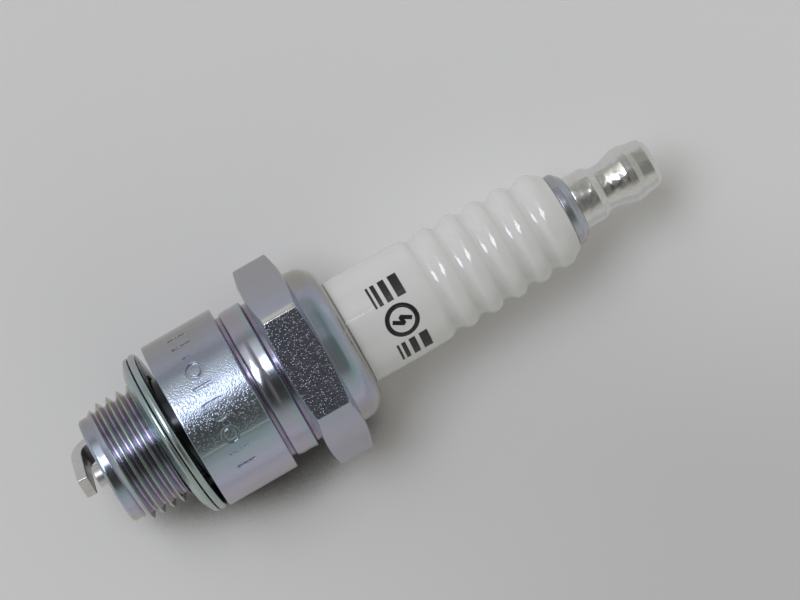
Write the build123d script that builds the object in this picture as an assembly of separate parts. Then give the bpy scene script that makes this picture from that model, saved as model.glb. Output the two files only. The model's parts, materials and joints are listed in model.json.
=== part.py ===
from build123d import *
from math import cos, hypot, radians, sin, tan
import os

# A short-reach 14 mm spark plug with a removable terminal nut, as its thirteen separate pieces.
#
# Frame, in millimetres: +X runs along the plug's axis towards the terminal, +Z is up, and the origin is
# on the axis in the plane of the shell's gasket seat. The plug lies on one flat of its hexagon, so the
# surface that it lies on is at z = -HEX_ACROSS_FLATS / 2. Most pieces are turned about the axis, and
# their outlines are lists of corners (x, radius, rounding).

# ---- driving dimensions ------------------------------------------------------------------------------

THREAD_PITCH = 1.25                # M14 x 1.25
THREAD_CREST_R = 6.92
THREAD_DEPTH = 0.767
THREAD_CREST_FLAT = 0.16
THREAD_BITE = 0.05                 # how far the ridge reaches into its core
THREAD_ROOT_R = THREAD_CREST_R - THREAD_DEPTH
THREAD_FIRST_X = -8.60             # where the thread rises out of the plain lead-in
THREAD_LAST_X = -2.75              # where it dies into the relief that holds the gasket
THREAD_PHASE_X = -6.74             # one crest crosses the top of the plug here
NOSE_END_X = -9.75                 # end face of the shell: the plug's reach
BODY_R = 9.67
BODY_LENGTH = 8.35
NECK_R = 8.42                      # groove between body and heat-crimp bulge
WAIST_R = 8.32                     # groove between bulge and hexagon
BULGE_R = 8.80
BULGE_CROWN_X = 9.50               # of its two low swellings, one after the other
BULGE_DIP_X = 10.25
BULGE_END_X = 11.38
HEX_CHAMFER_START_R = 10.05        # outer edge of the hexagon's end faces
HEX_CHAMFER_END_R = 9.90
HEX_ACROSS_FLATS = 20.8            # 13/16 in spanner
HEX_CORNER_R = 11.85               # corners are turned down to this radius
HEX_START_X = 12.0
HEX_END_X = 16.9
COLLAR_R = 9.02                    # outside of the rolled-in crimp
COLLAR_SHOULDER_X = 18.55          # where the collar starts to curl in
COLLAR_CORNER_X = 19.88
COLLAR_CORNER_R = 7.60
COLLAR_END_X = 20.08
CRIMP_LIP_R = 5.90                 # inside edge of the crimped lip
CRIMP_LIP_X = 19.10                # its underside
SHELL_BORE_R = 7.45
SHELL_BORE_END_X = 18.46
SHELL_BORE_FLOOR_X = 4.10
SHELL_MID_BORE_R = 5.55
SHELL_MID_BORE_END_X = 3.00
SHELL_LEDGE_BORE_R = 4.20
SHELL_NOSE_BORE_R = 4.70
LEDGE_LOW_X = -2.40                # below this the bore opens out to the nose bore
NOSE_BORE_END_X = -2.70
LEDGE_START_X = -0.20
LEDGE_END_X = 0.60

GASKET_FACE_X = -0.56              # side towards the seat, with the gasket where it hangs loose
GASKET_R = 9.60
GASKET_THICKNESS = 2.12
GASKET_INNER_R = 6.75              # smaller than the thread crest, so the gasket can't fall off
GASKET_LIP_R = 7.15                # inside edge of the domed front layer, which clears the thread
GASKET_SHEET = 0.45
GASKET_DOME_R = 8.15               # where the front layer starts to curve back
GASKET_RIM_R = 9.52                # its rim
GASKET_RIM_WIDTH = 0.30
GASKET_RIM_GAP = 0.06              # between the rim and the flat layers
GASKET_TILT_Y = -2.15              # degrees: loose on the thread, it leans away from the seat on top
GASKET_TILT_Z = 2.30               # and on the +Y side

NECK_CERAMIC_R = 6.05              # glazed neck, in front of the ribs
NECK_CERAMIC_END_X = 26.00
CERAMIC_CRIMP_R = 5.87             # unglazed, under the crimp
CERAMIC_CRIMP_END_X = 20.12
CERAMIC_BIG_R = 7.32
CERAMIC_BIG_START_X = 4.30
CERAMIC_BIG_END_X = 13.00
CERAMIC_MID_R = 5.35
CERAMIC_MID_END_X = 3.15
CERAMIC_NOSE_R = 4.0
CERAMIC_NOSE_END_X = -2.60
CERAMIC_TIP_X = -8.90
CERAMIC_TIP_R = 2.30
CERAMIC_DOME_X = 44.90             # where the top starts to round in
CERAMIC_DOME_R = 5.42
CERAMIC_TOP_R = 4.45
CERAMIC_TOP_X = 46.30
CERAMIC_TIP_BORE_R = 1.30
CERAMIC_BORE_R = 2.05
CERAMIC_BORE_FLOOR_X = 2.75
CERAMIC_TIP_BORE_END_X = 2.05
RIB_START_X = 30.60                # centre of the first groove
RIB_PITCH = 3.05
RIB_GROOVES = 5
RIB_CREST_R = 5.95
RIB_GROOVE_R = 5.42
RIB_GROOVE_TAPER = 0.035           # how much the groove bottoms come in for each mm
RIB_CREST_BEND = 0.0024            # how fast the crests come in
RIB_GROOVE_HALF = 1.02             # half of a groove's mouth
RIB_BOTTOM_HALF = 0.34
RIB_SHOULDER_ROUNDING = 1.15
RIB_BOTTOM_ROUNDING = 0.85

ELECTRODE_R = 1.25
ELECTRODE_TIP_X = -10.95
ELECTRODE_HEAD_R = 1.95
ELECTRODE_HEAD_X = 4.40            # terminal side of the head
CORE_R = 0.70
CORE_TIP_X = -8.60
CORE_FULL_X = -7.40
PIN_END_X = 2.00                   # where the centre electrode's head starts to widen
SPARK_GAP = 0.65
STRAP_THICKNESS = 1.24
STRAP_WIDTH = 2.60
STRAP_LEG_R = 5.15                 # axis to the middle of the welded leg
STRAP_BEND_R = 1.90
STRAP_OVERHANG = 0.85              # how far its tip passes the axis
STRAP_LEAN = 5.0                   # degrees
STRAP_ANGLE = 148.0                # degrees from straight up, turned towards +Y

STUD_TIP_X = 8.50
STUD_KNURL_R = 1.95
STUD_SHANK_R = 1.55
STUD_LOWER_KNURL_END_X = 13.00
STUD_UPPER_KNURL_X = 43.60
FLANGE_R = 4.17
FLANGE_EDGE_X = 47.15
FLANGE_TOP_R = 3.35
FLANGE_END_X = 47.95
STUD_END_X = 55.60
STUD_THREAD_PITCH = 0.7            # M4 x 0.7
STUD_CREST_R = 1.97
STUD_ROOT_R = 1.56
STUD_CREST_FLAT = 0.09
STUD_THREAD_BITE = 0.02
NUT_BORE_R = 2.04                  # 0.07 mm clear of the stud's crests
NUT_BARREL_R = 3.10
NUT_WAIST_R = 2.58
NUT_HEAD_R = 3.20
NUT_END_X = 57.65
NUT_BORE_END_X = 56.20

WIRE_RING_R = 0.77                 # half the wire's thickness
WIRE_RING_CENTRE_R = (CERAMIC_CRIMP_R + SHELL_BORE_R) / 2
LOWER_RING_X = 14.22
UPPER_RING_X = 17.92
ASSEMBLY_GAP = 0.01                # between fixed pieces that touch
SEAT_WASHER_THICKNESS = 0.40
GLASS_END_X = 10.20

MARK_COUNT = 10                    # plain stamped ticks and rings round the body
MARK_DEPTH = 0.16
MARK_X = 3.95
MARK_LENGTH = 2.20
MARK_WIDTH = 0.34
MARK_RING_R = 0.80                 # to the middle of a ring's groove
MARK_STEP = 11.6                   # degrees
MARK_FIRST = 66.0                  # degrees from straight up, towards +Y

AROUND = (0, 90, 0)                # turns a cylinder's axis from Z to X


# ---- shared construction -----------------------------------------------------------------------------

def turned(corners):
    """A solid of revolution about X from corners (x, radius, rounding)."""
    points = [(x, r) for x, r, _ in corners]
    rounding = [f for _, _, f in corners]
    outline = FilletPolyline(*points, radius=rounding, close=True)
    return revolve(Face(Wire(outline.edges())), Axis.X, 360)


def rod(radius, start, end):
    """A plain cylinder about X."""
    return Pos((start + end) / 2, 0, 0) * Cylinder(radius, end - start, rotation=AROUND)


def thread_ridge(pitch, root_r, crest_r, crest_flat, flank_x, start, end, into_core):
    """The raised right-hand helix of an outside thread, a little into its core, from start to end."""
    half_crest = crest_flat / 2
    half_base = half_crest + (crest_r - root_r + into_core) * flank_x
    path = Helix(pitch=pitch, height=end - start, radius=root_r, center=(start, 0, 0), direction=(1, 0, 0))
    corners = [
        (start - half_base, 0, root_r - into_core),
        (start + half_base, 0, root_r - into_core),
        (start + half_crest, 0, crest_r),
        (start - half_crest, 0, crest_r),
    ]
    section = Face(Wire(Polyline(*corners, close=True).edges()))
    return sweep(section, path=path, is_frenet=True)


def with_thread(body, ridge, envelope):
    """Body with the ridge, trimmed by the envelope.

    A union can drop a fine helix without an error, so this stops if the body hasn't gained the thread.
    """
    trimmed = ridge & envelope
    threaded = body + trimmed
    gained = threaded.volume - body.volume
    if trimmed.volume <= 0 or gained < 0.5 * trimmed.volume:
        raise ValueError(f"the thread was lost: {trimmed.volume:.3f} trimmed, {gained:.3f} gained")
    return threaded


# ---- metal shell -------------------------------------------------------------------------------------

def shell_turning():
    """The shell without its hexagon, thread and stamping, outside and inside."""
    outside = [
        (NOSE_END_X, SHELL_NOSE_BORE_R, 0.12),
        (NOSE_END_X, THREAD_ROOT_R, 0.40),
        (0, THREAD_ROOT_R, 0.15),
        (0, BODY_R, 0.10),
        (BODY_LENGTH, BODY_R, 0.16),
        (BODY_LENGTH + 0.05, NECK_R, 0.10),
        (BODY_LENGTH + 0.50, NECK_R, 0.08),
        (BODY_LENGTH + 0.57, BULGE_R - 0.19, 0.08),
        (BULGE_CROWN_X, BULGE_R, 2.2),
        (BULGE_DIP_X, BULGE_R - 0.08, 1.5),
        (BULGE_END_X, BULGE_R - 0.02, 0.12),
        (BULGE_END_X + 0.14, WAIST_R, 0.08),
        (HEX_START_X + 0.3, WAIST_R, 0),
        (HEX_START_X + 0.3, COLLAR_R, 0),
        (HEX_END_X + 0.10, COLLAR_R, 0),
        (COLLAR_SHOULDER_X, COLLAR_R - 0.10, 1.9),
        (COLLAR_CORNER_X, COLLAR_CORNER_R, 1.7),
        (COLLAR_END_X, CRIMP_LIP_R, 0.25),
    ]
    inside = [
        (CRIMP_LIP_X, CRIMP_LIP_R, 0.15),
        (SHELL_BORE_END_X, SHELL_BORE_R, 0.30),
        (SHELL_BORE_FLOOR_X, SHELL_BORE_R, 0.40),
        (SHELL_MID_BORE_END_X, SHELL_MID_BORE_R, 0.40),
        (LEDGE_END_X, SHELL_MID_BORE_R, 0.10),
        (LEDGE_START_X, SHELL_LEDGE_BORE_R, 0.05),
        (LEDGE_LOW_X, SHELL_LEDGE_BORE_R, 0.20),
        (NOSE_BORE_END_X, SHELL_NOSE_BORE_R, 0.20),
    ]
    return turned(outside + inside)


def hexagon():
    """The spanner hexagon, a flat facing up and a flat facing down, with its turned-down corners."""
    long_corner_r = HEX_ACROSS_FLATS / 2 / cos(radians(30))
    profile = Plane.YZ.offset(HEX_START_X) * RegularPolygon(long_corner_r, 6)
    prism = extrude(profile, HEX_END_X - HEX_START_X)
    envelope = turned([
        (HEX_START_X, SHELL_BORE_R + 0.3, 0),
        (HEX_START_X, HEX_CHAMFER_START_R, 0.10),
        (HEX_START_X + 0.50, HEX_CORNER_R, 0.25),
        (HEX_END_X - 0.55, HEX_CORNER_R, 0.25),
        (HEX_END_X, HEX_CHAMFER_END_R, 0.10),
        (HEX_END_X, SHELL_BORE_R + 0.3, 0),
    ])
    return prism & envelope


def with_shell_thread(shell):
    """The shell with its M14 thread, chamfered at both ends."""
    lead = 3 * THREAD_PITCH
    ridge = thread_ridge(
        THREAD_PITCH,
        THREAD_ROOT_R,
        THREAD_CREST_R,
        THREAD_CREST_FLAT,
        tan(radians(30)),
        THREAD_PHASE_X - lead,
        THREAD_PHASE_X + lead + THREAD_PITCH,
        THREAD_BITE,
    )
    envelope = turned([
        (THREAD_FIRST_X, SHELL_NOSE_BORE_R + 0.5, 0),
        (THREAD_FIRST_X, THREAD_ROOT_R, 0),
        (THREAD_FIRST_X + 0.95, THREAD_CREST_R + 0.02, 0),
        (THREAD_LAST_X - 0.40, THREAD_CREST_R + 0.02, 0),
        (THREAD_LAST_X, THREAD_ROOT_R, 0),
        (THREAD_LAST_X, SHELL_NOSE_BORE_R + 0.5, 0),
    ])
    return with_thread(shell, ridge, envelope)


def stamped_marks():
    """Plain marks in a row round the body: long ticks, short ones, and a ring for every fourth."""
    marks = []
    for i in range(MARK_COUNT):
        if i % 4 == 3:
            outside = Cylinder(MARK_RING_R + MARK_WIDTH / 2, 3 * MARK_DEPTH)
            mark = outside - Cylinder(MARK_RING_R - MARK_WIDTH / 2, 4 * MARK_DEPTH)
        else:
            length = MARK_LENGTH * (0.5 if i % 4 == 2 else 1.0)
            mark = Box(length, MARK_WIDTH, 2 * MARK_DEPTH)
            mark = fillet(mark.edges().filter_by(Axis.Z), MARK_WIDTH * 0.45)
        angle = MARK_FIRST - i * MARK_STEP
        marks.append(Rot(-angle, 0, 0) * Pos(MARK_X, 0, BODY_R) * mark)
    return marks


def metal_shell():
    shell = with_shell_thread(shell_turning() + hexagon())
    for mark in stamped_marks():
        shell = shell - mark
    return shell


# ---- gasket and ground electrode ---------------------------------------------------------------------

def gasket():
    """Sheet steel folded to an S: two layers pressed flat, then a domed one with a pocket behind it.

    The dome's flat seals on the cylinder head and clears the thread's crests. The flat layers don't, so
    they keep the gasket on the plug.
    """
    flat_x = -2 * GASKET_SHEET
    rim_x = flat_x - GASKET_RIM_GAP
    front_x = -GASKET_THICKNESS
    pocket_x = front_x + GASKET_SHEET
    pocket_r = GASKET_LIP_R + GASKET_SHEET
    dome_inside_r = GASKET_DOME_R - 0.05
    ring = turned([
        (0, GASKET_INNER_R, 0.10),
        (0, GASKET_R, 0.40),
        (flat_x, GASKET_R, 0.40),
        (flat_x, pocket_r, 0.12),
        (pocket_x, pocket_r, 0.20),
        (pocket_x, dome_inside_r, 0.60),
        (rim_x - 0.14, GASKET_RIM_R - GASKET_RIM_WIDTH - 0.04, 0.10),
        (rim_x, GASKET_RIM_R - GASKET_RIM_WIDTH, 0.05),
        (rim_x, GASKET_RIM_R, 0.12),
        (rim_x - GASKET_SHEET, GASKET_RIM_R - 0.04, 0.40),
        (front_x, GASKET_DOME_R, 1.20),
        (front_x, GASKET_LIP_R, 0.10),
        (flat_x, GASKET_LIP_R, 0.10),
        (flat_x, GASKET_INNER_R, 0.10),
    ])
    return Pos(GASKET_FACE_X, 0, 0) * Rot(0, 0, GASKET_TILT_Z) * Rot(0, GASKET_TILT_Y, 0) * ring


def ground_electrode():
    """The nickel strap: a leg welded to the shell's end, one bend, and an arm across the centre pin."""
    lean = radians(STRAP_LEAN)
    half = STRAP_THICKNESS / 2
    tip_x = ELECTRODE_TIP_X - SPARK_GAP - half
    tip = Vector(tip_x, -STRAP_OVERHANG)
    away = Vector(-cos(lean), sin(lean))

    def corner(side):
        """Where the two legs' edges cross on one side: 1 is outside the bend, -1 inside."""
        on_arm = tip + away * (side * half)
        leg_r = STRAP_LEG_R + side * half
        return (on_arm.X + (leg_r - on_arm.Y) * tan(lean), leg_r)

    outer = corner(1)
    inner = corner(-1)
    outer_tip = tip + away * half
    inner_tip = tip - away * half
    points = [
        (NOSE_END_X, outer[1]),
        outer,
        (outer_tip.X, outer_tip.Y),
        (inner_tip.X, inner_tip.Y),
        inner,
        (NOSE_END_X, inner[1]),
    ]
    bends = [0, STRAP_BEND_R + half, 0, 0, STRAP_BEND_R - half, 0]
    outline = Face(Wire(FilletPolyline(*points, radius=bends, close=True).edges()))
    strap = extrude(outline, STRAP_WIDTH / 2, both=True)
    soft_edges = strap.edges().filter_by(lambda e: e.center().X < NOSE_END_X - 0.01)
    strap = fillet(soft_edges, 0.14)
    out = Vector(0, sin(radians(STRAP_ANGLE)), cos(radians(STRAP_ANGLE)))
    plane = Plane(origin=(0, 0, 0), x_dir=(1, 0, 0), z_dir=(0, -out.Z, out.Y))
    return plane * strap


# ---- ceramic -----------------------------------------------------------------------------------------

def rib_crest_r(x):
    """The ribbed neck narrows slowly at first, then faster."""
    return RIB_CREST_R - RIB_CREST_BEND * (x - RIB_START_X) ** 2


def rib_grooves():
    """Corners of the rounded grooves, one after the other."""
    corners = []
    for i in range(RIB_GROOVES):
        x = RIB_START_X + i * RIB_PITCH
        bottom = RIB_GROOVE_R - RIB_GROOVE_TAPER * (x - RIB_START_X)
        before = x - RIB_GROOVE_HALF
        after = x + RIB_GROOVE_HALF
        corners += [
            (before, rib_crest_r(before), RIB_SHOULDER_ROUNDING),
            (x - RIB_BOTTOM_HALF, bottom, RIB_BOTTOM_ROUNDING),
            (x + RIB_BOTTOM_HALF, bottom, RIB_BOTTOM_ROUNDING),
            (after, rib_crest_r(after), RIB_SHOULDER_ROUNDING),
        ]
    return corners


def insulator():
    shoulder = seat_cone(SEAT_WASHER_THICKNESS)
    nose = [
        (CERAMIC_TIP_X, CERAMIC_TIP_BORE_R, 0.10),
        (CERAMIC_TIP_X, CERAMIC_TIP_R, 0.30),
        (CERAMIC_NOSE_END_X, CERAMIC_NOSE_R, 0.80),
        (shoulder[0][0], CERAMIC_NOSE_R, 0.10),
        (shoulder[1][0], CERAMIC_MID_R, 0.25),
        (CERAMIC_MID_END_X, CERAMIC_MID_R, 0.40),
        (CERAMIC_BIG_START_X, CERAMIC_BIG_R, 0.40),
        (CERAMIC_BIG_END_X, CERAMIC_BIG_R, 0.40),
        (CERAMIC_BIG_END_X + 0.70, CERAMIC_CRIMP_R, 0.30),
        (CERAMIC_CRIMP_END_X, CERAMIC_CRIMP_R, 0),
        (CERAMIC_CRIMP_END_X + 0.06, NECK_CERAMIC_R, 0),
        (NECK_CERAMIC_END_X, NECK_CERAMIC_R, 0),
    ]
    top = [
        (CERAMIC_DOME_X, CERAMIC_DOME_R, 1.20),
        (CERAMIC_TOP_X, CERAMIC_TOP_R, 0.35),
        (CERAMIC_TOP_X, CERAMIC_BORE_R, 0.15),
        (CERAMIC_BORE_FLOOR_X, CERAMIC_BORE_R, 0.20),
        (CERAMIC_TIP_BORE_END_X, CERAMIC_TIP_BORE_R, 0.10),
    ]
    return turned(nose + rib_grooves() + top)


# ---- conductors inside the ceramic -------------------------------------------------------------------

def electrode_core():
    return turned([
        (CORE_TIP_X, 0, 0),
        (CORE_FULL_X, CORE_R, 0.30),
        (ELECTRODE_HEAD_X, CORE_R, 0),
        (ELECTRODE_HEAD_X, 0, 0),
    ])


def centre_electrode():
    pin = turned([
        (ELECTRODE_TIP_X, 0, 0),
        (ELECTRODE_TIP_X, ELECTRODE_R, 0.12),
        (PIN_END_X, ELECTRODE_R, 0.10),
        (PIN_END_X + 0.68, ELECTRODE_HEAD_R, 0.15),
        (ELECTRODE_HEAD_X, ELECTRODE_HEAD_R, 0.20),
        (ELECTRODE_HEAD_X, 0, 0),
    ])
    return pin - electrode_core()


def terminal_stud():
    body = turned([
        (STUD_TIP_X, 0, 0),
        (STUD_TIP_X, STUD_KNURL_R - 0.45, 0.10),
        (STUD_TIP_X + 0.45, STUD_KNURL_R, 0.10),
        (STUD_LOWER_KNURL_END_X, STUD_KNURL_R, 0.10),
        (STUD_LOWER_KNURL_END_X + 0.40, STUD_SHANK_R, 0.10),
        (STUD_UPPER_KNURL_X - 0.40, STUD_SHANK_R, 0.10),
        (STUD_UPPER_KNURL_X, STUD_KNURL_R, 0.10),
        (CERAMIC_TOP_X + ASSEMBLY_GAP, STUD_KNURL_R, 0),
        (CERAMIC_TOP_X + ASSEMBLY_GAP, FLANGE_R, 0.15),
        (FLANGE_EDGE_X, FLANGE_R, 0.45),
        (FLANGE_END_X, FLANGE_TOP_R, 0.12),
        (FLANGE_END_X, STUD_ROOT_R, 0.10),
        (STUD_END_X, STUD_ROOT_R, 0),
        (STUD_END_X, 0, 0),
    ])
    ridge = thread_ridge(
        STUD_THREAD_PITCH,
        STUD_ROOT_R,
        STUD_CREST_R,
        STUD_CREST_FLAT,
        tan(radians(30)),
        FLANGE_END_X,
        STUD_END_X + STUD_THREAD_PITCH,
        STUD_THREAD_BITE,
    )
    envelope = turned([
        (FLANGE_END_X + 0.50, STUD_ROOT_R - 0.3, 0),
        (FLANGE_END_X + 0.50, STUD_ROOT_R, 0),
        (FLANGE_END_X + 0.90, STUD_CREST_R + 0.01, 0),
        (STUD_END_X - 0.45, STUD_CREST_R + 0.01, 0),
        (STUD_END_X, STUD_ROOT_R - 0.05, 0),
        (STUD_END_X, STUD_ROOT_R - 0.3, 0),
    ])
    return with_thread(body, ridge, envelope)


def glass_seal():
    plug = rod(CERAMIC_BORE_R - ASSEMBLY_GAP, ELECTRODE_HEAD_X + ASSEMBLY_GAP, GLASS_END_X)
    stud_tip = turned([
        (STUD_TIP_X - ASSEMBLY_GAP, 0, 0),
        (STUD_TIP_X - ASSEMBLY_GAP, STUD_KNURL_R - 0.45, 0),
        (STUD_TIP_X + 0.45, STUD_KNURL_R + ASSEMBLY_GAP, 0),
        (GLASS_END_X + 1, STUD_KNURL_R + ASSEMBLY_GAP, 0),
        (GLASS_END_X + 1, 0, 0),
    ])
    return plug - stud_tip


def terminal_nut():
    """The waisted nut that a plug cap snaps over. Its end is closed."""
    return turned([
        (FLANGE_END_X + ASSEMBLY_GAP, NUT_BORE_R, 0.15),
        (FLANGE_END_X + ASSEMBLY_GAP, NUT_BARREL_R, 0.10),
        (50.35, NUT_BARREL_R, 0.12),
        (51.15, NUT_WAIST_R, 0.30),
        (52.20, NUT_WAIST_R, 1.00),
        (54.15, NUT_HEAD_R, 0.20),
        (55.00, NUT_HEAD_R, 0.20),
        (55.72, NUT_HEAD_R - 0.22, 0.10),
        (57.10, NUT_HEAD_R - 0.40, 0.30),
        (NUT_END_X, 2.25, 0.20),
        (NUT_END_X, 0, 0),
        (NUT_BORE_END_X + 0.7, 0, 0),
        (NUT_BORE_END_X, NUT_BORE_R - 0.3, 0),
        (NUT_BORE_END_X, NUT_BORE_R, 0),
    ])


# ---- what holds and seals the ceramic in the shell -----------------------------------------------------

def seat_cone(distance):
    """The shell's ledge cone moved square to itself by distance, as two points (x, radius)."""
    run = LEDGE_END_X - LEDGE_START_X
    rise = SHELL_MID_BORE_R - SHELL_LEDGE_BORE_R
    length = hypot(run, rise)
    dx = distance * rise / length
    dr = -distance * run / length
    low = (LEDGE_START_X + dx, SHELL_LEDGE_BORE_R + dr)
    high = (LEDGE_END_X + dx, SHELL_MID_BORE_R + dr)
    return low, high


def seat_washer():
    """The thin cone-shaped washer between the shell's ledge and the ceramic's shoulder."""
    corners = []
    for distance, order in ((ASSEMBLY_GAP, 1), (SEAT_WASHER_THICKNESS - ASSEMBLY_GAP, -1)):
        low, high = seat_cone(distance)
        ends = []
        for share in (0.10, 0.88):
            x = low[0] + (high[0] - low[0]) * share
            r = low[1] + (high[1] - low[1]) * share
            ends.append((x, r, 0.05))
        corners += ends[::order]
    return turned(corners)


def wire_ring(x):
    section = Plane.XY * Pos(x, WIRE_RING_CENTRE_R) * Circle(WIRE_RING_R)
    return revolve(section, Axis.X, 360)


def talc_ring():
    """Powder pressed hard between the two wire rings."""
    inner = CERAMIC_CRIMP_R + ASSEMBLY_GAP
    outer = SHELL_BORE_R - ASSEMBLY_GAP
    block = rod(outer, LOWER_RING_X, UPPER_RING_X) - rod(inner, LOWER_RING_X - 1, UPPER_RING_X + 1)
    return block - wire_ring(LOWER_RING_X) - wire_ring(UPPER_RING_X)


# ---- write one file for each piece ---------------------------------------------------------------------

PIECES = {
    "metal_shell": metal_shell,
    "gasket": gasket,
    "ground_electrode": ground_electrode,
    "insulator": insulator,
    "centre_electrode": centre_electrode,
    "electrode_core": electrode_core,
    "glass_seal": glass_seal,
    "terminal_stud": terminal_stud,
    "terminal_nut": terminal_nut,
    "seat_washer": seat_washer,
    "lower_packing_ring": lambda: wire_ring(LOWER_RING_X),
    "talc_ring": talc_ring,
    "upper_packing_ring": lambda: wire_ring(UPPER_RING_X),
}

os.makedirs("parts", exist_ok=True)
for name, make in PIECES.items():
    piece = make()
    piece.label = name
    export_step(piece, f"parts/{name}.step")
    print(name, round(piece.volume, 2))
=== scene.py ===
import json
from math import cos, hypot, pi, radians, sin, tan

import bpy
from mathutils import Matrix, Vector


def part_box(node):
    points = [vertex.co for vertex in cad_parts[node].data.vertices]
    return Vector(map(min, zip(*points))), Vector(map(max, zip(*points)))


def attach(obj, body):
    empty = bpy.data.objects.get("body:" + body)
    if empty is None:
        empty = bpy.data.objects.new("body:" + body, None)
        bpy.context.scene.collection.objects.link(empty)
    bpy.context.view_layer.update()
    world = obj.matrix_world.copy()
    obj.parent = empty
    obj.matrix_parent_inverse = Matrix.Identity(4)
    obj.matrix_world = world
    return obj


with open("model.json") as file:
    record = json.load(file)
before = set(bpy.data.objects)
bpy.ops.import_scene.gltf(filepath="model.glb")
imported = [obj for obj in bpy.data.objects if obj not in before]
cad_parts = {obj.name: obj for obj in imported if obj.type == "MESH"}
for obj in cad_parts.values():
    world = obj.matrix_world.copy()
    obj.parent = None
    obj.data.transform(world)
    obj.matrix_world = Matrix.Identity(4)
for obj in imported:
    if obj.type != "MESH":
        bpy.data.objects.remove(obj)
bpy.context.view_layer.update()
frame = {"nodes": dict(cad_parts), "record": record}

# The looks of a spark plug that lies on a pale table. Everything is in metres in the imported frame: +X runs
# to the terminal, +Z is up, and the origin is on the axis in the plane of the gasket seat. The metal and
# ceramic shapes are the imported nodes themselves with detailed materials. The mark printed on the ceramic
# is an extra piece made here.

MM = 0.001


# ---- where things are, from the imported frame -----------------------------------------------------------

FLOOR_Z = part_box("metal_shell")[0].z


# ---- camera --------------------------------------------------------------------------------------------

CAMERA_ROLL = 29.77      # degrees: the plug's axis runs up to the right
CAMERA_SWING = 2.80
CAMERA_TIP = 2.90
SEAT_TO_CAMERA = Vector((0.0229, 0.0135, 0.3203))  # from the seat: right, up and back along the camera's axes
CAMERA_LENS = 135.0
SENSOR_WIDTH = 36.0


def make_camera():
    data = bpy.data.cameras.new("photo_camera")
    data.lens = CAMERA_LENS
    data.sensor_width = SENSOR_WIDTH
    data.clip_start = 0.01
    camera = bpy.data.objects.new("photo_camera", data)
    tip = Matrix.Rotation(radians(-CAMERA_TIP), 4, "X")
    swing = Matrix.Rotation(radians(-CAMERA_SWING), 4, "Y")
    roll = Matrix.Rotation(radians(-CAMERA_ROLL), 4, "Z")
    turn = tip @ swing @ roll
    camera.matrix_world = Matrix.Translation(turn @ SEAT_TO_CAMERA) @ turn
    bpy.context.scene.collection.objects.link(camera)
    bpy.context.scene.camera = camera


# ---- node helpers --------------------------------------------------------------------------------------

class Graph:
    """Short ways to add and join shader nodes. A value is a number, a tuple or another node's output."""

    def __init__(self, tree):
        self.tree = tree

    def add(self, kind, inputs=None, out=0, **settings):
        """One node of that kind. Gives its output, by number or name."""
        node = self.tree.nodes.new("ShaderNode" + kind)
        for name, value in settings.items():
            setattr(node, name, value)
        for name, value in (inputs or {}).items():
            self.feed(node.inputs[name], value)
        return node.outputs[out] if node.outputs else node

    def feed(self, socket, value):
        if isinstance(value, bpy.types.NodeSocket):
            self.tree.links.new(value, socket)
        else:
            socket.default_value = value

    def math(self, operation, a, b=0.0, c=0.0):
        return self.add("Math", {0: a, 1: b, 2: c}, operation=operation)

    def mul(self, a, b):
        return self.math("MULTIPLY", a, b)

    def plus(self, a, b):
        return self.math("ADD", a, b)

    def minus(self, a, b):
        return self.math("SUBTRACT", a, b)

    def step(self, value, low, high):
        """0 below low, 1 above high, smooth between."""
        inputs = {"Value": value, "From Min": low, "From Max": high, "To Min": 0.0, "To Max": 1.0}
        return self.add("MapRange", inputs, interpolation_type="SMOOTHSTEP")

    def band(self, value, low, high, soft):
        """1 between low and high, falling to 0 over soft on either side."""
        rise = self.step(value, low - soft, low + soft)
        fall = self.step(value, high - soft, high + soft)
        return self.mul(rise, self.minus(1.0, fall))

    def rescale(self, value, low, high, to_low, to_high):
        inputs = {"Value": value, "From Min": low, "From Max": high, "To Min": to_low, "To Max": to_high}
        return self.add("MapRange", inputs)

    def noise(self, where, scale, detail=2.0, roughness=0.5, distortion=0.0):
        inputs = {"Vector": where, "Scale": scale, "Detail": detail, "Roughness": roughness,
                  "Distortion": distortion}
        return self.add("TexNoise", inputs, out="Fac")

    def cells(self, where, scale):
        inputs = {"Vector": where, "Scale": scale}
        return self.add("TexVoronoi", inputs, out="Distance")

    def stretch(self, where, factors):
        return self.add("VectorMath", {0: where, 1: factors}, operation="MULTIPLY")

    def ramp(self, value, stops):
        """Colours along a value, from (place, colour) pairs."""
        node = self.tree.nodes.new("ShaderNodeValToRGB")
        ramp = node.color_ramp
        ramp.interpolation = "LINEAR"
        for i, (place, colour) in enumerate(stops):
            point = ramp.elements[i] if i < 2 else ramp.elements.new(place)
            point.position = place
            point.color = (*colour, 1.0)
        self.feed(node.inputs["Fac"], value)
        return node.outputs["Color"]

    def mix(self, share, a, b, blend="MIX"):
        node = self.tree.nodes.new("ShaderNodeMix")
        node.data_type = "RGBA"
        node.blend_type = blend
        self.feed(node.inputs["Factor"], share)
        self.feed(node.inputs["A"], a if not isinstance(a, tuple) else (*a, 1.0))
        self.feed(node.inputs["B"], b if not isinstance(b, tuple) else (*b, 1.0))
        return node.outputs["Result"]

    def bump(self, height, depth, normal=None):
        """Relief whose height input runs 0 to 1 and stands for depth metres."""
        inputs = {"Strength": 1.0, "Distance": depth, "Height": height}
        if normal is not None:
            inputs["Normal"] = normal
        return self.add("Bump", inputs)


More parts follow.
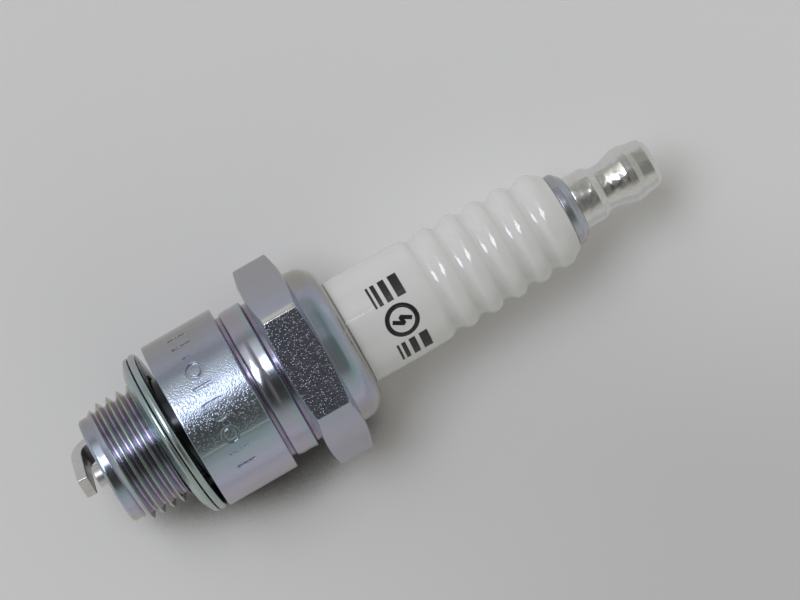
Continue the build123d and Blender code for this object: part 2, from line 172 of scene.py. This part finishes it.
class Surface(Graph):
    """A material whose nodes know the place on the plug: x, radius and the angle round the axis."""

    def __init__(self, name):
        self.material = bpy.data.materials.new(name)
        self.material.use_nodes = True
        super().__init__(self.material.node_tree)
        self.tree.nodes.clear()
        place = self.add("TexCoord", out="Object")
        self.mm = self.add("VectorMath", {0: place, "Scale": 1.0 / MM}, operation="SCALE")
        parts = self.tree.nodes.new("ShaderNodeSeparateXYZ")
        self.feed(parts.inputs[0], self.mm)
        self.x, self.y, self.z = parts.outputs
        self.radius = self.math("SQRT", self.plus(self.mul(self.y, self.y), self.mul(self.z, self.z)))
        self.turn = self.math("DIVIDE", self.math("ARCTAN2", self.y, self.z), pi)   # -1..1, + towards +Y

    def shader(self, links, **constants):
        """The Principled shader with linked inputs, and constants set on its own sockets."""
        node = self.tree.nodes.new("ShaderNodeBsdfPrincipled")
        for name, value in constants.items():
            node.inputs[name.replace("_", " ")].default_value = value
        for name, value in links.items():
            self.feed(node.inputs[name], value)
        output = self.tree.nodes.new("ShaderNodeOutputMaterial")
        self.feed(output.inputs["Surface"], node.outputs["BSDF"])
        return self.material


# ---- light ---------------------------------------------------------------------------------------------

KEY_TOWARDS_Y = 21.0     # degrees from straight up
KEY_TOWARDS_X = -17.5
KEY_SPAN_Y = 22.0        # degrees that the window covers, seen from the plug
KEY_SPAN_X = 31.0
KEY_DISTANCE = 5.0       # far enough that the table is lit evenly
KEY_RADIANCE = 4.2
KEY_COLOUR = (0.97, 1.0, 1.10)


def make_key_light():
    """A soft window, up and to the side."""
    data = bpy.data.lights.new("soft_window", "AREA")
    data.shape = "RECTANGLE"
    data.size = 2 * KEY_DISTANCE * tan(radians(KEY_SPAN_X / 2))
    data.size_y = 2 * KEY_DISTANCE * tan(radians(KEY_SPAN_Y / 2))
    data.energy = KEY_RADIANCE * pi * data.size * data.size_y
    data.color = KEY_COLOUR
    light = bpy.data.objects.new("soft_window", data)
    way = Vector((tan(radians(KEY_TOWARDS_X)), tan(radians(KEY_TOWARDS_Y)), 1.0)).normalized()
    light.matrix_world = (
        Matrix.Translation(way * KEY_DISTANCE) @ way.to_track_quat("Z", "Y").to_matrix().to_4x4()
    )
    light.visible_camera = False
    bpy.context.scene.collection.objects.link(light)


ROOM_COLOUR = (1.0, 0.99, 0.92)
HORIZON_LEVEL = 0.52     # close to how bright the far floor looks
ROOM_LEVELS = [          # (degrees from straight up, + towards +Y, how bright the room is there)
    (-180, 0.40), (-92, 0.50), (-66, 0.50), (-50, 0.40), (-40, 0.22), (-33, 0.09), (-18, 0.055), (-4, 0.05),
    (3, 0.08), (9, 0.18), (14, 0.28), (50, 0.28), (64, 0.34), (80, 0.38), (93, 0.44), (180, 0.40),
]
BLIND_LEVELS = [         # the pale blind beside the window
    (-180, 0.0), (28, 0.0), (33, 1.05), (46, 0.90), (60, 0.62), (68, 0.42), (74, 0.0), (180, 0.0),
]
ASIDE_LEVEL = 0.46       # far towards either end of the plug
ROOM_END_LEVEL = 0.20    # never darker than this towards the terminal


def make_room():
    """A pale room, dark straight overhead, with a blind beside the window."""
    world = bpy.data.worlds.new("pale_room")
    bpy.context.scene.world = world
    world.use_nodes = True
    g = Graph(world.node_tree)
    world.node_tree.nodes.clear()
    parts = world.node_tree.nodes.new("ShaderNodeSeparateXYZ")
    g.feed(parts.inputs[0], g.add("TexCoord", out="Generated"))
    x, y, z = parts.outputs
    across = g.rescale(g.math("ARCTAN2", y, z), -pi, pi, 0.0, 1.0)

    def levels(stops):
        return g.ramp(across, [(0.5 + a / 360.0, (v, v, v)) for a, v in stops])

    aside = g.step(g.math("ABSOLUTE", x), 0.36, 0.80)
    level = g.mix(aside, levels(ROOM_LEVELS), (ASIDE_LEVEL, ASIDE_LEVEL, ASIDE_LEVEL))
    past_end = g.step(x, 0.02, 0.12)
    level = g.mix(past_end, level, (ROOM_END_LEVEL, ROOM_END_LEVEL, ROOM_END_LEVEL), blend="LIGHTEN")
    near_window = g.band(x, -0.50, 0.03, 0.05)
    level = g.mix(near_window, level, levels(BLIND_LEVELS), blend="LIGHTEN")
    colour = g.mix(1.0, level, ROOM_COLOUR, blend="MULTIPLY")
    low = g.minus(1.0, g.step(z, 0.03, 0.30))
    colour = g.mix(low, colour, (HORIZON_LEVEL, HORIZON_LEVEL, HORIZON_LEVEL))
    background = world.node_tree.nodes.new("ShaderNodeBackground")
    g.feed(background.inputs["Color"], colour)
    output = world.node_tree.nodes.new("ShaderNodeOutputWorld")
    g.feed(output.inputs["Surface"], background.outputs[0])


TABLE_HALF = 4.0         # metres
TABLE_ALONG = (0.868, -0.496)    # painted shade: the table's colour is made a little darker along these two ways, away from the window
TABLE_ASIDE = (-0.496, -0.868)
TABLE_PAINTED_SHADE = 0.20        # how much the painted shade darkens it
SHADE_REACH = 14.0       # mm that a spot on the table looks round itself for what shades it
SHADE_TONE = (0.05, 0.048, 0.05)


def make_floor():
    """A wide pale table, level with the hexagon flat that the plug lies on."""
    mesh = bpy.data.meshes.new("table")
    signs = ((-1, -1), (1, -1), (1, 1), (-1, 1))
    corners = [(x * TABLE_HALF, y * TABLE_HALF, FLOOR_Z) for x, y in signs]
    mesh.from_pydata(corners, [], [(0, 1, 2, 3)])
    floor = bpy.data.objects.new("table", mesh)
    bpy.context.scene.collection.objects.link(floor)
    s = Surface("table_paper")
    tone = s.noise(s.mm, 0.02, detail=2.0)
    colour = s.mix(tone, (0.89, 0.885, 0.885), (0.92, 0.915, 0.915))
    # Painted shade: the table's colour falls a little darker away from the window.
    along = s.plus(s.mul(s.x, TABLE_ALONG[0]), s.mul(s.y, TABLE_ALONG[1]))
    aside = s.plus(s.mul(s.x, TABLE_ASIDE[0]), s.mul(s.y, TABLE_ASIDE[1]))
    fall = s.mul(s.step(along, -10.0, 60.0), s.step(aside, -30.0, 8.0))
    fall = s.mul(fall, s.minus(1.0, s.step(s.radius, 90.0, 260.0)))
    colour = s.mix(s.mul(fall, TABLE_PAINTED_SHADE), colour, (0.0, 0.0, 0.0))
    open_sky = s.add("AmbientOcclusion", {"Distance": SHADE_REACH * MM}, out="AO", samples=16)
    beside = s.mul(s.minus(1.0, s.step(s.y, -9.0, -4.0)), s.minus(1.0, s.step(s.x, 16.0, 22.0)))
    shade = s.mul(s.minus(1.0, s.step(open_sky, 0.58, 0.74)), s.mul(beside, 0.92))
    colour = s.mix(shade, colour, SHADE_TONE)
    grain = s.bump(s.noise(s.mm, 6.0, detail=3.0), 0.002 * MM)
    mesh.materials.append(s.shader({"Base Color": colour, "Normal": grain}, Roughness=0.75))


# ---- metals --------------------------------------------------------------------------------------------

PLATING_AND_REFLECTION_TINTS = [        # (angle round the axis from straight up, + towards +Y, colour of the plating; the bright band near 27° and the dull bands near ±74° are painted reflection)
    (-180, (0.50, 0.52, 0.58)),
    (-100, (0.56, 0.53, 0.54)),
    (-74, (0.52, 0.47, 0.49)),
    (-56, (0.66, 0.63, 0.74)),
    (-44, (0.64, 0.64, 0.80)),
    (-32, (0.53, 0.63, 0.77)),
    (-22, (0.48, 0.62, 0.72)),
    (-8, (0.54, 0.62, 0.69)),
    (6, (0.55, 0.63, 0.78)),
    (18, (0.53, 0.61, 0.78)),
    (27, (0.63, 0.73, 0.91)),
    (38, (0.52, 0.58, 0.75)),
    (52, (0.49, 0.50, 0.56)),
    (74, (0.49, 0.47, 0.45)),
    (100, (0.56, 0.55, 0.52)),
    (180, (0.50, 0.52, 0.58)),
]
# Also partly painted reflection, laid by angle from straight up like the shell's.
GASKET_AND_REFLECTION_TINTS = [
    (-180, (0.48, 0.54, 0.54)),
    (-74, (0.55, 0.60, 0.58)),
    (-30, (0.52, 0.63, 0.62)),
    (0, (0.50, 0.60, 0.62)),
    (30, (0.50, 0.64, 0.68)),
    (74, (0.56, 0.58, 0.58)),
    (180, (0.48, 0.54, 0.54)),
]
PLATING_LEVEL = (0.84, 0.84, 0.84)
STUD_LEVEL = (0.86, 0.86, 0.86)
PLATING_WANDER = 0.04    # of a whole turn

# Stretches of the shell, in mm along the axis from the seat.
BODY_X = (0.15, 8.25)
BULGE_X = (8.80, 11.55)
GROOVES_X = (8.38, 11.95)        # from the groove before the bulge to the one behind it
HEXAGON_X = (12.05, 16.85)
GAP_SHADE_X = (-1.9, 0.02)          # where the shell beside the loose gasket is painted near black as shade in the narrow gap


def plating_and_reflection_colour(s, tints=PLATING_AND_REFLECTION_TINTS):
    """Zinc plating's faint rainbow, in bands by angle from straight up that wander a little along the plug:
    partly the plating's colour, partly painted reflection of the room.
    """
    wander = s.minus(s.noise(s.mm, 0.35, detail=2.0), 0.5)
    place = s.plus(s.rescale(s.turn, -1.0, 1.0, 0.0, 1.0), s.mul(wander, PLATING_WANDER))
    return s.ramp(place, [(0.5 + a / 360.0, c) for a, c in tints])


def plated_shell():
    s = Surface("zinc_plating_shell")
    colour = plating_and_reflection_colour(s)

    # Where each region of the shell is: 1 inside it and 0 outside, from the place along and off the axis.
    body = s.mul(s.band(s.x, *BODY_X, 0.15), s.step(s.radius, 9.2, 9.5))
    proud = s.step(s.radius, 8.45, 8.60)
    bulge = s.mul(s.band(s.x, *BULGE_X, 0.06), proud)
    groove = s.mul(s.band(s.x, *GROOVES_X, 0.05), s.minus(1.0, proud))
    thread = s.minus(1.0, s.step(s.x, -2.9, -2.6))
    pilot = s.minus(1.0, s.step(s.x, -8.7, -8.3))
    crest = s.mul(thread, s.step(s.radius, 6.45, 6.85))
    valley = s.mul(s.mul(thread, s.minus(1.0, s.step(s.radius, 6.20, 6.60))), s.minus(1.0, pilot))
    hexagon = s.mul(s.band(s.x, *HEXAGON_X, 0.1), s.step(s.radius, 9.3, 9.7))
    hex_top = s.mul(hexagon, s.step(s.z, 10.30, 10.38))
    collar = s.step(s.x, 16.95, 17.05)

    # The colour of the plating in each, with painted shade, painted highlights and painted reflections laid
    # in where marked.
    colour = s.mix(s.mul(bulge, 0.40), colour, (0.60, 0.52, 0.62))
    # Painted reflection: a teal strip on the bulge's far crown stands in for a pale-blue light reflected
    # there.
    colour = s.mix(s.mul(s.band(s.x, 10.75, 11.30, 0.12), s.mul(bulge, 0.45)), colour, (0.42, 0.62, 0.64))
    # Painted shade: the narrow grooves either side of the bulge get a dark mauve, the plating's tint darkened
    # as shade in the recess.
    colour = s.mix(s.mul(groove, 0.75), colour, (0.36, 0.27, 0.40))
    colour = s.mix(s.mul(crest, 0.60), colour, (0.54, 0.58, 0.40))
    colour = s.mix(s.mul(valley, 0.65), colour, (0.46, 0.36, 0.46))
    # The lower side of the pilot, facing the table, is given a pale yellow: plating tint, partly painted
    # reflection.
    low_side = s.minus(1.0, s.step(s.turn, -0.40, -0.28))
    colour = s.mix(s.mul(pilot, s.mul(low_side, 0.6)), colour, (0.62, 0.60, 0.44))
    colour = s.mix(s.mul(hexagon, 0.55), colour, (0.60, 0.60, 0.68))
    corner = s.mul(hexagon, s.step(s.radius, 11.78, 11.83))
    # Painted reflection: the upper flat of the hexagon is coloured dark blue-grey for the dark overhead it
    # reflects.
    colour = s.mix(s.mul(hex_top, 0.70), colour, (0.34, 0.35, 0.45))
    # Painted highlight: a white line along the hexagon's upper corner on the +Y side, towards the window.
    colour = s.mix(s.mul(s.mul(corner, s.step(s.y, 0.0, 1.0)), 0.8), colour, (1.0, 1.0, 1.0))
    # Painted reflection: a teal-blue lens on the top of the collar.
    lens = s.mul(s.band(s.x, 17.6, 18.7, 0.25), s.band(s.turn, -0.14, 0.18, 0.05))
    colour = s.mix(s.mul(collar, 0.30), colour, (0.56, 0.54, 0.66))
    colour = s.mix(s.mul(lens, 0.55), colour, (0.36, 0.58, 0.68))
    rim = s.math("MAXIMUM", s.step(s.x, 19.1, 19.5), s.step(s.math("ABSOLUTE", s.y), 6.6, 7.8))
    colour = s.mix(s.mul(collar, s.mul(rim, 0.60)), colour, (0.52, 0.49, 0.38))

    # The pitted skin on the body's upper band and on the upper flat of the hexagon.
    shock = s.mul(s.step(s.turn, -0.112, -0.100), s.minus(1.0, s.step(s.turn, 0.14, 0.24)))
    pitted = s.plus(s.mul(body, s.plus(0.06, s.mul(shock, 0.90))), s.mul(hex_top, 0.62))
    pitted = s.math("MINIMUM", s.plus(pitted, 0.03), 1.0)
    fine = s.noise(s.mm, 4.0, detail=4.0, roughness=0.75)
    pits = s.step(s.cells(s.mm, 4.6), 0.08, 0.50)
    peel = s.noise(s.mm, 1.2, detail=2.0)
    blotch = s.noise(s.mm, 0.5, detail=3.0)
    relief = s.plus(s.mul(pits, 0.40), s.plus(s.mul(fine, 0.45), s.mul(peel, 0.15)))
    edge = s.add("Bevel", {"Radius": 0.16 * MM}, samples=6)
    normal = s.bump(s.mul(relief, pitted), 0.042 * MM, edge)
    rings = s.noise(s.stretch(s.mm, (9.0, 0.15, 0.15)), 1.0, detail=2.0)
    normal = s.bump(rings, 0.0008 * MM, normal)

    # Painted shade: dark specks in the pits of the pitted band.
    speck = s.mul(pitted, s.minus(1.0, s.step(s.cells(s.mm, 3.4), 0.05, 0.26)))
    colour = s.mix(s.mul(speck, 0.60), colour, (0.16, 0.17, 0.21))
    colour = s.mix(s.mul(s.step(blotch, 0.45, 0.75), 0.20), colour, (0.62, 0.66, 0.74))
    # Painted shade: near black on the shell in the deep gap between the gasket and the body.
    painted_gap_shade = s.mul(s.band(s.x, *GAP_SHADE_X, 0.01), s.minus(1.0, s.step(s.radius, 9.50, 9.58)))
    colour = s.mix(s.mul(painted_gap_shade, 0.93), colour, (0.02, 0.02, 0.02))
    colour = s.mix(1.0, colour, PLATING_LEVEL, blend="MULTIPLY")
    roughness = s.plus(s.mul(pitted, 0.04), s.rescale(fine, 0.3, 0.7, 0.11, 0.20))
    return s.shader({"Base Color": colour, "Roughness": roughness, "Normal": normal}, Metallic=1.0)


def plated_gasket():
    s = Surface("zinc_plating_gasket")
    colour = plating_and_reflection_colour(s, GASKET_AND_REFLECTION_TINTS)
    haze = s.noise(s.mm, 0.8, detail=4.0)
    colour = s.mix(s.mul(haze, 0.30), colour, (0.62, 0.66, 0.64))
    grain = s.noise(s.stretch(s.mm, (1.0, 3.0, 3.0)), 2.0, detail=4.0, roughness=0.6)
    normal = s.bump(grain, 0.0035 * MM)
    colour = s.mix(1.0, colour, PLATING_LEVEL, blend="MULTIPLY")
    roughness = s.rescale(haze, 0.3, 0.7, 0.20, 0.30)
    return s.shader({"Base Color": colour, "Roughness": roughness, "Normal": normal}, Metallic=1.0)


def electrode_nickel():
    s = Surface("satin_nickel")
    drawn = s.noise(s.stretch(s.mm, (0.6, 4.0, 4.0)), 2.0, detail=4.0)
    heat = s.noise(s.mm, 0.7, detail=2.0)
    colour = s.mix(heat, (0.70, 0.70, 0.66), (0.74, 0.72, 0.75))
    colour = s.mix(s.mul(s.step(drawn, 0.5, 0.8), 0.4), colour, (0.40, 0.39, 0.38))
    normal = s.bump(drawn, 0.006 * MM)
    roughness = s.rescale(drawn, 0.3, 0.7, 0.28, 0.42)
    return s.shader({"Base Color": colour, "Roughness": roughness, "Normal": normal}, Metallic=1.0)


def plated_stud():
    s = Surface("plated_stud")
    colour = plating_and_reflection_colour(s)
    haze = s.noise(s.mm, 1.2, detail=3.0)
    colour = s.mix(s.plus(0.3, s.mul(haze, 0.5)), colour, (0.60, 0.60, 0.62))
    colour = s.mix(1.0, colour, STUD_LEVEL, blend="MULTIPLY")
    rings = s.noise(s.stretch(s.mm, (8.0, 0.2, 0.2)), 1.0, detail=3.0)
    normal = s.bump(rings, 0.0015 * MM)
    roughness = s.rescale(haze, 0.3, 0.7, 0.20, 0.30)
    return s.shader({"Base Color": colour, "Roughness": roughness, "Normal": normal}, Metallic=1.0)


def nut_aluminium():
    s = Surface("turned_aluminium")
    haze = s.noise(s.mm, 1.0, detail=3.0)
    colour = s.mix(haze, (0.84, 0.84, 0.83), (0.74, 0.74, 0.73))
    rings = s.noise(s.stretch(s.mm, (10.0, 0.15, 0.15)), 1.0, detail=3.0, roughness=0.6)
    nicks = s.step(s.cells(s.mm, 1.6), 0.02, 0.10)
    colour = s.mix(s.mul(s.minus(1.0, nicks), 0.5), colour, (0.45, 0.45, 0.44))
    dents = s.noise(s.mm, 0.75, detail=1.5, distortion=0.4)
    normal = s.bump(dents, 0.10 * MM, s.add("Bevel", {"Radius": 0.14 * MM}, samples=6))
    normal = s.bump(rings, 0.0012 * MM, normal)
    normal = s.bump(nicks, 0.004 * MM, normal)
    roughness = s.rescale(haze, 0.3, 0.7, 0.15, 0.24)
    return s.shader({"Base Color": colour, "Roughness": roughness, "Normal": normal}, Metallic=1.0)


def hidden_metal(name, light, dark, rough):
    s = Surface(name)
    grain = s.noise(s.mm, 3.0, detail=4.0)
    colour = s.mix(grain, dark, light)
    return s.shader(
        {"Base Color": colour, "Roughness": s.rescale(grain, 0.3, 0.7, rough, rough + 0.12),
         "Normal": s.bump(grain, 0.004 * MM)},
        Metallic=1.0,
    )


# ---- ceramic, glass, powder ----------------------------------------------------------------------------

FIRST_GROOVE_X = 30.60   # mm
GROOVE_PITCH = 3.05


def glazed_ceramic():
    s = Surface("glazed_alumina")
    cloud = s.noise(s.mm, 0.25, detail=3.0)
    colour = s.mix(cloud, (0.84, 0.84, 0.83), (0.87, 0.87, 0.86))
    speck = s.minus(1.0, s.step(s.cells(s.mm, 0.9), 0.02, 0.07))
    chosen = s.step(s.noise(s.mm, 0.8, detail=1.0), 0.52, 0.60)
    colour = s.mix(s.mul(s.mul(speck, chosen), 0.35), colour, (0.52, 0.50, 0.46))
    wave = s.math("COSINE", s.mul(s.minus(s.x, FIRST_GROOVE_X), 2.0 * pi / GROOVE_PITCH))
    ribs = s.band(s.x, FIRST_GROOVE_X - 1.2, FIRST_GROOVE_X + 4.5 * GROOVE_PITCH, 0.4)
    groove = s.mul(ribs, s.step(wave, 0.0, 0.9))
    low = s.minus(1.0, s.step(s.turn, -0.22, 0.05))
    # Painted shade: the grooves on the ceramic's lower side are coloured a little darker.
    colour = s.mix(s.mul(groove, s.mul(low, 0.16)), colour, (0.42, 0.42, 0.38))
    # Painted shade: the lower side of the ceramic is coloured darker and warmer.
    colour = s.mix(s.mul(s.minus(1.0, s.step(s.turn, -0.36, 0.02)), 0.22), colour, (0.44, 0.43, 0.38))
    ripple = s.noise(s.stretch(s.mm, (1.0, 0.6, 0.6)), 0.9, detail=2.0)
    normal = s.bump(ripple, 0.010 * MM)
    roughness = s.rescale(cloud, 0.3, 0.7, 0.06, 0.12)
    return s.shader(
        {"Base Color": colour, "Roughness": roughness, "Normal": normal}, IOR=1.60, Specular_IOR_Level=0.85,
    )


def printing_ink():
    s = Surface("baked_black_ink")
    thin = s.noise(s.mm, 5.0, detail=4.0, roughness=0.7)
    colour = s.mix(s.step(thin, 0.60, 0.78), (0.020, 0.020, 0.022), (0.10, 0.10, 0.10))
    return s.shader(
        {"Base Color": colour, "Roughness": s.rescale(thin, 0.3, 0.7, 0.16, 0.30),
         "Normal": s.bump(thin, 0.003 * MM)},
        IOR=1.5,
    )


def matt_powder(name, light, dark, rough):
    s = Surface(name)
    grain = s.noise(s.mm, 4.0, detail=5.0, roughness=0.7)
    colour = s.mix(grain, dark, light)
    return s.shader({"Base Color": colour, "Normal": s.bump(grain, 0.02 * MM)}, Roughness=rough)


MATERIALS = {
    "plated_shell": plated_shell,
    "plated_gasket": plated_gasket,
    "electrode_nickel": electrode_nickel,
    "glazed_ceramic": glazed_ceramic,
    "plated_stud": plated_stud,
    "nut_aluminium": nut_aluminium,
    "core_copper": lambda: hidden_metal("core_copper", (0.80, 0.48, 0.34), (0.66, 0.36, 0.24), 0.25),
    "packing_steel": lambda: hidden_metal("packing_steel", (0.56, 0.55, 0.54), (0.42, 0.42, 0.42), 0.32),
    "seal_glass": lambda: matt_powder("seal_glass", (0.20, 0.17, 0.15), (0.08, 0.07, 0.06), 0.35),
    "talc_powder": lambda: matt_powder("talc_powder", (0.82, 0.80, 0.76), (0.70, 0.68, 0.63), 0.9),
}


def dress_nodes():
    """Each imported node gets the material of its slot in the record."""
    made = {slot: make() for slot, make in MATERIALS.items()}
    for part in frame["record"]["subparts"]:
        node = frame["nodes"][part["node"]]
        for slot in node.material_slots:
            slot.material = made[part["material_slot"]]


# ---- printed mark --------------------------------------------------------------------------------------

NECK_R = 6.05 * MM
INK_THICKNESS = 0.012 * MM
MARK_R = NECK_R + INK_THICKNESS
MARK_MIDDLE_X = 25.5     # mm along the plug
MARK_TURN = -12.5        # degrees round the axis from straight up, + towards +Y
BOLT = [(1.05, -0.25), (-0.05, 0.42), (0.05, -0.42), (-1.05, 0.25)]
RING_R = 1.62            # mm
RING_CORNERS = 40
RING_WIDTH = 0.50
BOLT_WIDTH = 0.46
BAR_START = 2.35         # mm from the middle of the mark, round the neck
BARS = [                 # (place along the plug, width, length) in mm
    (1.30, 1.00, 2.60),
    (-0.05, 0.75, 2.60),
    (-1.10, 0.48, 2.60),
    (-1.75, 0.26, 2.60),
]
STROKE_STEP = 0.12       # mm between the cuts across a stroke
STROKE_ROWS = 4          # faces across a stroke, so that it follows the round neck


def stroke_outline(points, width):
    """Left and right edges of a stroke, close together along it, with square corners."""
    left, right = [], []
    for i in range(len(points) - 1):
        (x0, y0), (x1, y1) = points[i], points[i + 1]
        length = hypot(x1 - x0, y1 - y0)
        across = (-(y1 - y0) / length * width / 2, (x1 - x0) / length * width / 2)
        count = max(2, round(length / STROKE_STEP))
        for k in range(count + 1):
            x = x0 + (x1 - x0) * k / count
            y = y0 + (y1 - y0) * k / count
            left.append((x + across[0], y + across[1]))
            right.append((x - across[0], y - across[1]))
    return left, right


def on_ceramic(x, round_mm):
    """A point of the flat drawing, wrapped on the neck."""
    angle = radians(MARK_TURN) + round_mm * MM / MARK_R
    return ((MARK_MIDDLE_X + x) * MM, MARK_R * sin(angle), MARK_R * cos(angle))


def mark_strokes():
    """(width, points) of each stroke: a bolt in a ring, with a band of plain stripes on either side."""
    ring = []
    for i in range(RING_CORNERS + 1):
        angle = 2 * pi * i / RING_CORNERS
        ring.append((RING_R * cos(angle), RING_R * sin(angle)))
    strokes = [(RING_WIDTH, ring), (BOLT_WIDTH, BOLT)]
    for x, width, length in BARS:
        for side in (1, -1):
            strokes.append((width, [(x, side * BAR_START), (x, side * (BAR_START + length))]))
    return strokes


def make_printed_mark():
    """No letters, and nobody's mark."""
    verts, faces = [], []
    for width, points in mark_strokes():
        left, right = stroke_outline(points, width)
        for i, (a, b) in enumerate(zip(left, right)):
            for k in range(STROKE_ROWS + 1):
                share = k / STROKE_ROWS
                verts.append(on_ceramic(a[0] + (b[0] - a[0]) * share, a[1] + (b[1] - a[1]) * share))
            if i:
                here = len(verts) - (STROKE_ROWS + 1)
                last = here - (STROKE_ROWS + 1)
                for k in range(STROKE_ROWS):
                    faces.append((last + k, last + k + 1, here + k + 1, here + k))
    mesh = bpy.data.meshes.new("printed_mark")
    mesh.from_pydata(verts, [], faces)
    mesh.materials.append(printing_ink())
    for face in mesh.polygons:
        face.use_smooth = True
    mark = bpy.data.objects.new("printed_mark", mesh)
    bpy.context.scene.collection.objects.link(mark)
    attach(mark, "root")


def build():
    bpy.context.scene.view_settings.view_transform = "Standard"
    make_camera()
    make_room()
    make_key_light()
    make_floor()
    dress_nodes()
    make_printed_mark()


build()
